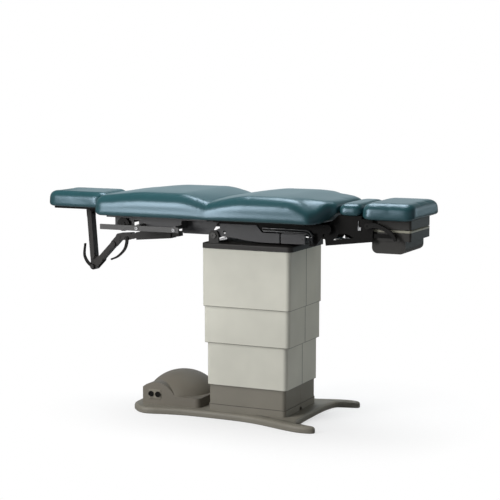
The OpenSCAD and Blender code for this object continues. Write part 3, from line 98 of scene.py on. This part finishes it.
def addLine(mat, axis, place, half, color):
    # thin line of another colour where one object coordinate is near the place
    tree = mat.node_tree
    shader = tree.nodes["Principled BSDF"]
    coords = tree.nodes.new("ShaderNodeTexCoord")
    split = tree.nodes.new("ShaderNodeSeparateXYZ")
    band = tree.nodes.new("ShaderNodeMath")
    band.operation = "COMPARE"
    band.inputs[1].default_value = place
    band.inputs[2].default_value = half
    line = tree.nodes.new("ShaderNodeMix")
    line.data_type = "RGBA"
    line.inputs["B"].default_value = (*color, 1)
    tone = shader.inputs["Base Color"].links[0].from_socket
    tree.links.new(coords.outputs["Object"], split.inputs["Vector"])
    tree.links.new(split.outputs[axis], band.inputs[0])
    tree.links.new(band.outputs["Value"], line.inputs["Factor"])
    tree.links.new(tone, line.inputs["A"])
    tree.links.new(line.outputs["Result"], shader.inputs["Base Color"])


paintGrain = {"height": 0.0004, "spread": 0.06, "patchScale": 4}


def paint(name, look):
    mat, tree, shader = newMaterial(name, look["color"], look["roughness"])
    shader.inputs["Specular IOR Level"].default_value = look["specular"]
    coords = addBump(tree, shader, look["grain"], look["grainStrength"], paintGrain["height"])
    addTone(tree, shader, coords, look["color"], paintGrain["spread"], paintGrain["patchScale"])
    return mat


# paints and plastics of one colour; grain is in grains per metre
paints = {
    "base paint": {"color": (0.215, 0.199, 0.163), "roughness": 0.5,
                   "grain": 1200, "grainStrength": 0.25, "specular": 0.5},
    "cover plastic": {"color": (0.175, 0.158, 0.128), "roughness": 0.5,
                      "grain": 1500, "grainStrength": 0.2, "specular": 0.5},
    "panel plastic": {"color": (0.235, 0.215, 0.175), "roughness": 0.45,
                      "grain": 1500, "grainStrength": 0.15, "specular": 0.5},
    "housing paint": {"color": (0.037, 0.035, 0.031), "roughness": 0.5,
                      "grain": 1100, "grainStrength": 0.2, "specular": 0.4},
    "charcoal paint": {"color": (0.026, 0.024, 0.022), "roughness": 0.5,
                       "grain": 1100, "grainStrength": 0.2, "specular": 0.35},
    "dark grey paint": {"color": (0.042, 0.0415, 0.044), "roughness": 0.42,
                        "grain": 1100, "grainStrength": 0.25, "specular": 0.5},
    "rail paint": {"color": (0.064, 0.063, 0.062), "roughness": 0.4,
                   "grain": 1100, "grainStrength": 0.15, "specular": 0.5},
    "black paint": {"color": (0.0065, 0.006, 0.0055), "roughness": 0.5,
                    "grain": 1100, "grainStrength": 0.2, "specular": 0.12},
    "black plastic": {"color": (0.0105, 0.0098, 0.009), "roughness": 0.45,
                      "grain": 1300, "grainStrength": 0.2, "specular": 0.18},
    "beige plastic": {"color": (0.40, 0.385, 0.30), "roughness": 0.4,
                      "grain": 1300, "grainStrength": 0.1, "specular": 0.5},
}

plinthLine = {"color": (0.07, 0.063, 0.052), "height": 0.0605, "half": 0.0013}


def plinthPaint():
    # base paint with the fine moulded line round the plinth
    mat = paint("plinth paint", paints["base paint"])
    addLine(mat, "Z", plinthLine["height"], plinthLine["half"], plinthLine["color"])
    return mat


# the rim colour is painted shade under each tier's lower edge
shroudLook = {"color": (0.63, 0.62, 0.54), "roughness": 0.45,
              "grain": 900, "grainStrength": 0.12, "specular": 0.5,
              "rim": (0.20, 0.19, 0.16), "rimHalf": 0.0022,
              # the seam colour is painted shade in the gap between the front and rear shroud halves
              "seamShade": (0.05, 0.047, 0.04), "seamShadeHalf": 0.0019}
# height of each tier's lower rim, where a thin line of painted shade goes
shroudRimShades = {"lower shroud paint": 0.152, "middle shroud paint": 0.35, "upper shroud paint": 0.521}


def shroudPaint(name, rim):
    # column paint with painted shade along its lower rim and painted shade in the gap along the side seam
    mat = paint(name, shroudLook)
    addLine(mat, "Z", rim, shroudLook["rimHalf"], shroudLook["rim"])
    # painted shade of the gap along the side seam
    addLine(mat, "Y", 0.0, shroudLook["seamShadeHalf"], shroudLook["seamShade"])
    return mat


vinylLook = {"color": (0.015, 0.056, 0.063), "roughness": 0.33, "specular": 1.0, "tint": (0.66, 0.84, 1.0),
             "grain": 420, "grainStrength": 0.05, "grainHeight": 0.0005, "grainDetail": 4,
             "spread": 0.07, "patchScale": 3}


def vinyl():
    look = vinylLook
    mat, tree, shader = newMaterial("teal vinyl", look["color"], look["roughness"])
    coords = addBump(tree, shader, look["grain"], look["grainStrength"], look["grainHeight"],
                     look["grainDetail"])
    addTone(tree, shader, coords, look["color"], look["spread"], look["patchScale"])
    shader.inputs["Specular IOR Level"].default_value = look["specular"]
    shader.inputs["Specular Tint"].default_value = (*look["tint"], 1)
    return mat


steelGrain = {"grain": 1400, "strength": 0.08, "height": 0.0002}
steels = {"machined steel": {"color": (0.42, 0.425, 0.43), "roughness": 0.38},
          "bolt steel": {"color": (0.28, 0.28, 0.285), "roughness": 0.4},
          "blackened steel": {"color": (0.07, 0.068, 0.066), "roughness": 0.4}}


def steel(name, look):
    mat, tree, shader = newMaterial(name, look["color"], look["roughness"], 1.0)
    addBump(tree, shader, steelGrain["grain"], steelGrain["strength"], steelGrain["height"])
    return mat


hoseLook = {"color": (0.02, 0.02, 0.021), "roughness": 0.12, "specular": 1.0,
            "grain": 600, "grainStrength": 0.04, "grainHeight": 0.0003}


def hoseRubber():
    look = hoseLook
    mat, tree, shader = newMaterial("hose rubber", look["color"], look["roughness"])
    shader.inputs["Specular IOR Level"].default_value = look["specular"]
    addBump(tree, shader, look["grain"], look["grainStrength"], look["grainHeight"])
    return mat


teal = vinyl()
materials = {"teal vinyl": teal, "plinth paint": plinthPaint(), "hose rubber": hoseRubber()}
materials.update({name: shroudPaint(name, rim) for name, rim in shroudRimShades.items()})
materials.update({name: paint(name, look) for name, look in paints.items()})
materials.update({name: steel(name, look) for name, look in steels.items()})

finishes = {
    "lower shroud paint": "lower_shroud_front lower_shroud_rear",
    "middle shroud paint": "middle_shroud_front middle_shroud_rear",
    "upper shroud paint": "upper_shroud_front upper_shroud_rear",
    "base paint": "base_plate",
    "plinth paint": "plinth_front plinth_rear",
    "cover plastic": "pump_cover",
    "panel plastic": "socket_panel",
    "charcoal paint": "top_cap tilt_brackets head_sleeve head_slide_bar head_link head_post",
    "housing paint": "foot_housing pan_holder",
    "dark grey paint": "side_plate_near side_plate_far back_frame junction_box pump_motor",
    "rail paint": "side_rail_near side_rail_far",
    "black paint": "seat_frame foot_frame headrest_base",
    "black plastic": "clamp_knob elbow_lever post_lever foot_lever control_sockets",
    "beige plastic": "treatment_pan fluid_reservoir",
    "hose rubber": "hydraulic_hose",
    "blackened steel": "tilt_pins box_screws back_hinge_pins back_barrel foot_barrel tilt_barrel",
    "machined steel": "mast_outer mast_middle mast_inner lift_barrel lift_stage lift_ram "
                      "tilt_rod foot_latch back_rod foot_rod",
    "bolt steel": "rail_screws tilt_latch",
    "teal vinyl": "back_pad seat_pad headrest_pad knee_pad foot_pad",
}
for name, pieces in finishes.items():
    for piece in pieces.split():
        mesh = nodes[piece].data
        mesh.materials.clear()
        mesh.materials.append(materials[name])
print("finishes done")


def smooth(t):
    # 0 below 0, 1 above 1, and a soft step between
    t = min(1.0, max(0.0, t))
    return t * t * (3 - 2 * t)


# shares of a pad's height: the rounded ends, and the section across the pad
endShape = {"leastShare": 0.45, "lowShare": 0.46, "steps": 8}
sectionShape = {"cornerShare": 0.15, "sideShare": 0.50, "rollShare": 0.62,
                "cornerSteps": 4, "rollSteps": 12, "topSteps": 18}


def endLoss(d, r):
    # half width lost at distance d from an end with plan corner radius r
    return r - math.sqrt(max(0.0, r * r - max(0.0, r - d) ** 2))


def endShare(d, r):
    # share of the full height at distance d from an end rounded over the length r
    least = endShape["leastShare"]
    return least + (1 - least) * math.sqrt(max(0.0, 1 - max(0.0, 1 - d / r) ** 2))


def quarterTurns(steps):
    return [math.pi / 2 * i / steps for i in range(steps + 1)]


def padPlaces(x0, x1, r0, r1, spans):
    # places along the pad, closer together over its rounded ends
    turns = quarterTurns(endShape["steps"])[:-1]
    low = [x0 + r0 * (1 - math.cos(a)) for a in turns]
    middle = [x0 + r0 + (x1 - x0 - r0 - r1) * i / spans for i in range(spans + 1)]
    high = [x1 - r1 * (1 - math.cos(a)) for a in reversed(turns)]
    return low + middle + high


def halfSection(w, low, high, top):
    # lower corner, side rolling over into the top, then the top to the middle
    shape = sectionShape
    h = high + top(w) - low
    corner = shape["cornerShare"] * h
    roll = shape["rollShare"] * h
    side = low + shape["sideShare"] * h
    points = [(w - corner * (1 - math.sin(a)), low + corner * (1 - math.cos(a)))
              for a in quarterTurns(shape["cornerSteps"])]
    points.append((w, (low + corner + side) / 2))
    for a in quarterTurns(shape["rollSteps"]):
        y = w - roll * (1 - math.cos(a))
        points.append((y, side + (high + top(y) - side) * math.sin(a)))
    steps = shape["topSteps"]
    for i in range(1, steps + 1):
        y = (w - roll) * (1 - i / steps)
        points.append((y, high + top(y)))
    return points


def loftPad(name, xs, section):
    # closed mesh through mirrored sections at the given places
    bm = bmesh.new()
    rings = []
    for x in xs:
        half = halfSection(*section(x))
        ring = [bm.verts.new((x, y, z)) for y, z in half]
        ring += [bm.verts.new((x, -y, z)) for y, z in reversed(half[:-1])]
        rings.append(ring)
    count = len(rings[0])
    for a, b in zip(rings, rings[1:]):
        for i in range(count):
            j = (i + 1) % count
            bm.faces.new((a[i], b[i], b[j], a[j]))
    bm.faces.new(list(reversed(rings[-1])))
    bm.faces.new(rings[0])
    bmesh.ops.recalc_face_normals(bm, faces=bm.faces)
    mesh = bpy.data.meshes.new(name)
    bm.to_mesh(mesh)
    bm.free()
    obj = bpy.data.objects.new(name, mesh)
    bpy.context.collection.objects.link(obj)
    mesh.materials.append(teal)
    return obj


def apply(obj, mod):
    bpy.context.view_layer.objects.active = obj
    bpy.ops.object.modifier_apply(modifier=mod.name)


swelling = {"pressure": 4, "frames": 20, "heelHeight": 0.04, "relaxShare": 0.5, "relaxSteps": 10}


def swell(obj, cap, floor):
    # cloth with pressure inside; each point's move is capped and fades out toward the underside
    rest = [v.co.copy() for v in obj.data.vertices]
    cloth = obj.modifiers.new("cloth", "CLOTH")
    cloth.settings.use_pressure = True
    cloth.settings.uniform_pressure_force = swelling["pressure"]
    cloth.settings.effector_weights.gravity = 0
    scene = bpy.context.scene
    for f in range(1, swelling["frames"] + 1):
        scene.frame_set(f)
    apply(obj, cloth)
    scene.frame_set(1)
    for v, old in zip(obj.data.vertices, rest):
        move = v.co - old
        if move.length > cap:
            move *= cap / move.length
        v.co = old + move * smooth((old.z - floor) / swelling["heelHeight"])


def puff(obj, voxel, cap, low, high):
    # even mesh, swelling, relaxing, and the pad kept in its box
    mod = obj.modifiers.new("remesh", "REMESH")
    mod.mode = "VOXEL"
    mod.voxel_size = voxel
    apply(obj, mod)
    swell(obj, cap, low[2])
    mod = obj.modifiers.new("relax", "SMOOTH")
    mod.factor = swelling["relaxShare"]
    mod.iterations = swelling["relaxSteps"]
    apply(obj, mod)
    mod = obj.modifiers.new("finer", "SUBSURF")
    mod.levels = 1
    apply(obj, mod)
    for v in obj.data.vertices:
        v.co = [min(max(c, a), b) for c, a, b in zip(v.co, low, high)]
    for f in obj.data.polygons:
        f.use_smooth = True


# one run of upholstery from the head end, over the back hinge, to the tongue at the knee
backSeat = {
    "headEnd": -0.7405, "footEnd": 0.4395, "hinge": -0.150, "underside": 0.9285, "top": 1.0335,
    "halfWidth": 0.3045, "tongueHalf": 0.1755, "narrowStart": 0.345,
    "headRadius": 0.045, "footRadius": 0.024, "crown": 0.008, "spans": 110,
    "valleyDepth": 0.026, "valleyEdgeDepth": 0.014, "valleyDrawIn": 0.004, "valleyPower": 1.5,
    "valleyHeadReach": 0.15, "valleyFootReach": 0.19,
    "undersideRise": 0.036, "riseStart": 0.372, "topDrop": 0.020, "dropStart": 0.170,
    "headDrop": 0.020, "headDropLength": 0.26,
    "edgeFall": 0.060, "fallStart": 0.250, "fallLength": 0.160, "fallInner": 0.176, "fallWidth": 0.129,
    "voxel": 0.006, "cap": 0.004,
    "boxLow": (-0.741, -0.306, 0.9285), "boxHigh": (0.4398, 0.306, 1.045),
}


def backSeatSection(x):
    pad = backSeat
    x0, x1, hinge = pad["headEnd"], pad["footEnd"], pad["hinge"]
    reach = pad["valleyHeadReach"] if x < hinge else pad["valleyFootReach"]
    valley = max(0.0, 1 - abs(x - hinge) / reach) ** pad["valleyPower"]
    narrow = smooth((x - pad["narrowStart"]) / (x1 - pad["narrowStart"]))
    w = pad["halfWidth"] + (pad["tongueHalf"] - pad["halfWidth"]) * narrow
    w -= endLoss(x - x0, pad["headRadius"])
    w -= pad["valleyDrawIn"] * valley
    low = pad["underside"] + pad["undersideRise"] * smooth((x - pad["riseStart"]) / (x1 - pad["riseStart"]))
    high = pad["top"] - pad["topDrop"] * smooth((x - pad["dropStart"]) / (x1 - pad["dropStart"]))
    high -= pad["headDrop"] * (1 - smooth((x - x0) / pad["headDropLength"]))
    fall = pad["edgeFall"] * smooth((x - pad["fallStart"]) / pad["fallLength"])
    h = endShare(x - x0, pad["headRadius"]) * endShare(x1 - x, pad["footRadius"])
    lost = (high - low) * (1 - h)

    def top(y):
        y = abs(y)
        crowned = pad["crown"] * h * (1 - (y / w) ** 4)
        fallen = fall * smooth((y - pad["fallInner"]) / pad["fallWidth"])
        sunk = valley * (pad["valleyDepth"] + pad["valleyEdgeDepth"] * (y / w) ** 2)
        return crowned - fallen - sunk
    return w, low + endShape["lowShare"] * lost, high - (1 - endShape["lowShare"]) * lost, top


# fold over the back hinge; a tuck is its angle at the pad's edge and its width, in radians
creaseLook = {"lowest": 0.965, "reach": 0.2, "foldDepth": 0.0016, "foldWidth": 0.008,
              "tuckDepth": 0.0008, "tuckStart": 0.13, "tuckFade": 0.12, "edge": 0.33, "edgeGap": 0.02,
              "tucks": [(-0.62, 0.05), (-0.3, 0.045), (0.34, 0.045), (0.7, 0.05)]}


def crease(obj):
    look, hinge = creaseLook, backSeat["hinge"]
    for v in obj.data.vertices:
        x, y, z = v.co
        if z < look["lowest"] or abs(x - hinge) > look["reach"]:
            continue
        depth = look["foldDepth"] * math.exp(-((x - hinge) / look["foldWidth"]) ** 2)
        share = smooth((abs(y) - look["tuckStart"]) / look["tuckFade"])
        if share > 0:
            angle = math.atan2(x - hinge, abs(abs(y) - look["edge"]) + look["edgeGap"])
            for place, width in look["tucks"]:
                depth += look["tuckDepth"] * share * math.exp(-((angle - place) / width) ** 2)
        v.co.z = z - depth


def backSeatCushion():
    pad = backSeat
    xs = padPlaces(pad["headEnd"], pad["footEnd"], pad["headRadius"], pad["footRadius"], pad["spans"])
    cushion = loftPad("back_seat_cushion", xs, backSeatSection)
    puff(cushion, pad["voxel"], pad["cap"], pad["boxLow"], pad["boxHigh"])
    crease(cushion)
    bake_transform(cushion)
    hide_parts("back_pad", "seat_pad")


smallPads = {
    "headrest_cushion": {"body": "headrest", "node": "headrest_pad", "top": 1.0245, "crown": -0.008,
                         "endRadius": 0.045, "cornerRadius": 0.055},
    "knee_cushion": {"body": "foot", "node": "knee_pad", "top": 1.0115, "crown": 0.004,
                     "endRadius": 0.030, "cornerRadius": 0.030},
    "foot_cushion": {"body": "foot", "node": "foot_pad", "top": 1.0195, "crown": 0.004,
                     "endRadius": 0.050, "cornerRadius": 0.040},
}
# inset is how far a small cushion lies inside its solid; endInset and topSpare set the box after it
smallMake = {"inset": 0.0005, "endInset": 0.0003, "topSpare": 0.002, "spans": 40,
             "voxel": 0.005, "cap": 0.003}


def smallSection(pad, low, high):
    inset = smallMake["inset"]
    underside = low[2] + inset

    def section(x):
        d = min(x - low[0], high[0] - x) - inset
        h = endShare(d, pad["endRadius"])
        w = high[1] - inset - endLoss(d, pad["cornerRadius"])
        lost = (pad["top"] - underside) * (1 - h)
        return (w, underside + endShape["lowShare"] * lost, pad["top"] - (1 - endShape["lowShare"]) * lost,
                lambda y: pad["crown"] * h * (1 - (y / w) ** 4))
    return section


def smallCushion(name, pad):
    low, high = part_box(pad["node"])
    inset, endInset = smallMake["inset"], smallMake["endInset"]
    xs = padPlaces(low[0] + inset, high[0] - inset, pad["endRadius"], pad["endRadius"], smallMake["spans"])
    cushion = loftPad(name, xs, smallSection(pad, low, high))
    puff(cushion, smallMake["voxel"], smallMake["cap"], (low[0] + endInset, low[1], low[2] + inset),
         (high[0], high[1], high[2] + smallMake["topSpare"]))
    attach(cushion, pad["body"])
    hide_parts(pad["node"])


backSeatCushion()
for name, pad in smallPads.items():
    smallCushion(name, pad)
print("cushions done")


# the camera sees a pale floor that fades to white; the table is lit by a dimmer one
floorLook = {"pale": (0.86, 0.86, 0.86), "dim": (0.3, 0.3, 0.3), "roughness": 0.9,
             "grain": 60, "grainStrength": 0.02, "grainHeight": 0.001,
             "fadeStart": 0.2, "fadeEnd": 1.1, "leastFade": 0.55, "size": 60, "height": -0.0005}


def floorMaterial():
    look = floorLook
    mat, tree, shader = newMaterial("pale floor", look["pale"], look["roughness"])
    coords = addBump(tree, shader, look["grain"], look["grainStrength"], look["grainHeight"])
    length = tree.nodes.new("ShaderNodeVectorMath")
    length.operation = "LENGTH"
    fade = tree.nodes.new("ShaderNodeMapRange")
    fade.inputs["From Min"].default_value = look["fadeStart"]
    fade.inputs["From Max"].default_value = look["fadeEnd"]
    fade.inputs["To Min"].default_value = look["leastFade"]
    path = tree.nodes.new("ShaderNodeLightPath")
    tone = tree.nodes.new("ShaderNodeMix")
    tone.data_type = "RGBA"
    tone.inputs["A"].default_value = (*look["dim"], 1)
    tone.inputs["B"].default_value = (*look["pale"], 1)
    share = tree.nodes.new("ShaderNodeMath")
    share.operation = "MULTIPLY"
    glow = tree.nodes.new("ShaderNodeEmission")
    glow.inputs["Color"].default_value = (1, 1, 1, 1)
    glow.inputs["Strength"].default_value = 1.0
    mix = tree.nodes.new("ShaderNodeMixShader")
    output = tree.nodes["Material Output"]
    tree.links.new(path.outputs["Is Camera Ray"], tone.inputs["Factor"])
    tree.links.new(tone.outputs["Result"], shader.inputs["Base Color"])
    tree.links.new(coords.outputs["Object"], length.inputs[0])
    tree.links.new(length.outputs["Value"], fade.inputs["Value"])
    tree.links.new(fade.outputs["Result"], share.inputs[0])
    tree.links.new(path.outputs["Is Camera Ray"], share.inputs[1])
    tree.links.new(share.outputs["Value"], mix.inputs["Fac"])
    tree.links.new(shader.outputs["BSDF"], mix.inputs[1])
    tree.links.new(glow.outputs["Emission"], mix.inputs[2])
    tree.links.new(mix.outputs["Shader"], output.inputs["Surface"])
    return mat


def layFloor():
    bpy.ops.mesh.primitive_plane_add(size=floorLook["size"], location=(0, 0, floorLook["height"]))
    floor = bpy.context.object
    floor.name = "floor"
    floor.data.materials.append(floorMaterial())


# the camera sees white; everything else sees a bright horizon and a dim ceiling
roomLook = {"strength": 0.5, "horizon": (0.55, 0.56, 0.58), "horizonEnd": 0.12,
            "ceiling": (0.14, 0.15, 0.16), "ceilingStart": 0.75}


def studioWorld():
    look = roomLook
    world = bpy.data.worlds.new("studio")
    bpy.context.scene.world = world
    world.use_nodes = True
    tree = world.node_tree
    white = tree.nodes["Background"]
    white.inputs["Color"].default_value = (1, 1, 1, 1)
    white.inputs["Strength"].default_value = 1.0
    room = tree.nodes.new("ShaderNodeBackground")
    room.inputs["Strength"].default_value = look["strength"]
    coords = tree.nodes.new("ShaderNodeTexCoord")
    split = tree.nodes.new("ShaderNodeSeparateXYZ")
    ramp = tree.nodes.new("ShaderNodeValToRGB")
    horizon, ceiling = ramp.color_ramp.elements
    horizon.position = look["horizonEnd"]
    horizon.color = (*look["horizon"], 1)
    ceiling.position = look["ceilingStart"]
    ceiling.color = (*look["ceiling"], 1)
    path = tree.nodes.new("ShaderNodeLightPath")
    mix = tree.nodes.new("ShaderNodeMixShader")
    tree.links.new(coords.outputs["Generated"], split.inputs["Vector"])
    tree.links.new(split.outputs["Z"], ramp.inputs["Fac"])
    tree.links.new(ramp.outputs["Color"], room.inputs["Color"])
    tree.links.new(path.outputs["Is Camera Ray"], mix.inputs["Fac"])
    tree.links.new(room.outputs["Background"], mix.inputs[1])
    tree.links.new(white.outputs["Background"], mix.inputs[2])
    tree.links.new(mix.outputs["Shader"], tree.nodes["World Output"].inputs["Surface"])


# soft boxes: place and target in metres, power in watts; a box that isn't seen only lights
softboxes = {
    "front left box": {"place": (-2.15, -3.66, 2.2), "target": (-0.35, 0, 0.9), "size": (1.2, 2.7),
                       "power": 127, "color": (1, 1, 1), "seen": True},
    "back box": {"place": (-1.3, 3.0, 1.6), "target": (-0.1, 0, 1.0), "size": (2.8, 1.2),
                 "power": 6, "color": (0.8, 0.93, 1.0), "seen": True},
    "back right box": {"place": (2.35, 2.5, 1.3), "target": (0.2, 0, 0.7), "size": (1.6, 1.8),
                       "power": 10, "color": (0.72, 0.93, 1.0), "seen": True},
    "warm side box": {"place": (2.6, 2.2, 1.5), "target": (0.2, 0, 0.7), "size": (1.6, 1.8),
                      "power": 11, "color": (1.0, 0.86, 0.68), "seen": False},
    "top box": {"place": (-0.9, -1.7, 3.7), "target": (-0.1, 0, 0.6), "size": (1.6, 1.0),
                "power": 48, "color": (1, 1, 1), "seen": False},
    "ceiling box": {"place": (-0.35, 1.1, 3.4), "target": (0.1, 0, 0.9), "size": (1.4, 1.5),
                    "power": 42, "color": (0.88, 0.94, 1.0), "seen": True},
    "high box": {"place": (-0.5, 0.5, 3.6), "target": (-0.2, 0, 0.9), "size": (2.0, 1.4),
                 "power": 80, "color": (1, 1, 1), "seen": False},
}


def softbox(name, box):
    data = bpy.data.lights.new(name, "AREA")
    data.shape = "RECTANGLE"
    data.size, data.size_y = box["size"]
    data.energy = box["power"]
    data.color = box["color"]
    lamp = bpy.data.objects.new(name, data)
    bpy.context.collection.objects.link(lamp)
    lamp.location = box["place"]
    lamp.visible_camera = False
    lamp.visible_glossy = box["seen"]
    aim = Vector(box["target"]) - Vector(box["place"])
    lamp.rotation_euler = aim.to_track_quat("-Z", "Y").to_euler()


# solved from the column's edges; the lens is the focal length in pixels on a 500 pixel picture
cameraLook = {"place": (2.8582, -6.2405, 1.6005), "azimuth": 25.1, "down": 6.9,
              "focalPixels": 1486, "picturePixels": 500, "sensor": 36}


def placeCamera():
    look = cameraLook
    data = bpy.data.cameras.new("photo camera")
    data.sensor_width = look["sensor"]
    data.lens = look["sensor"] * look["focalPixels"] / look["picturePixels"]
    camera = bpy.data.objects.new("photo camera", data)
    bpy.context.collection.objects.link(camera)
    camera.location = look["place"]
    camera.rotation_euler = (math.pi / 2 - math.radians(look["down"]), 0, math.radians(look["azimuth"]))
    bpy.context.scene.camera = camera


layFloor()
studioWorld()
for name, box in softboxes.items():
    softbox(name, box)
placeCamera()
bpy.context.scene.view_settings.view_transform = "Standard"
print("stage, lights and camera done")
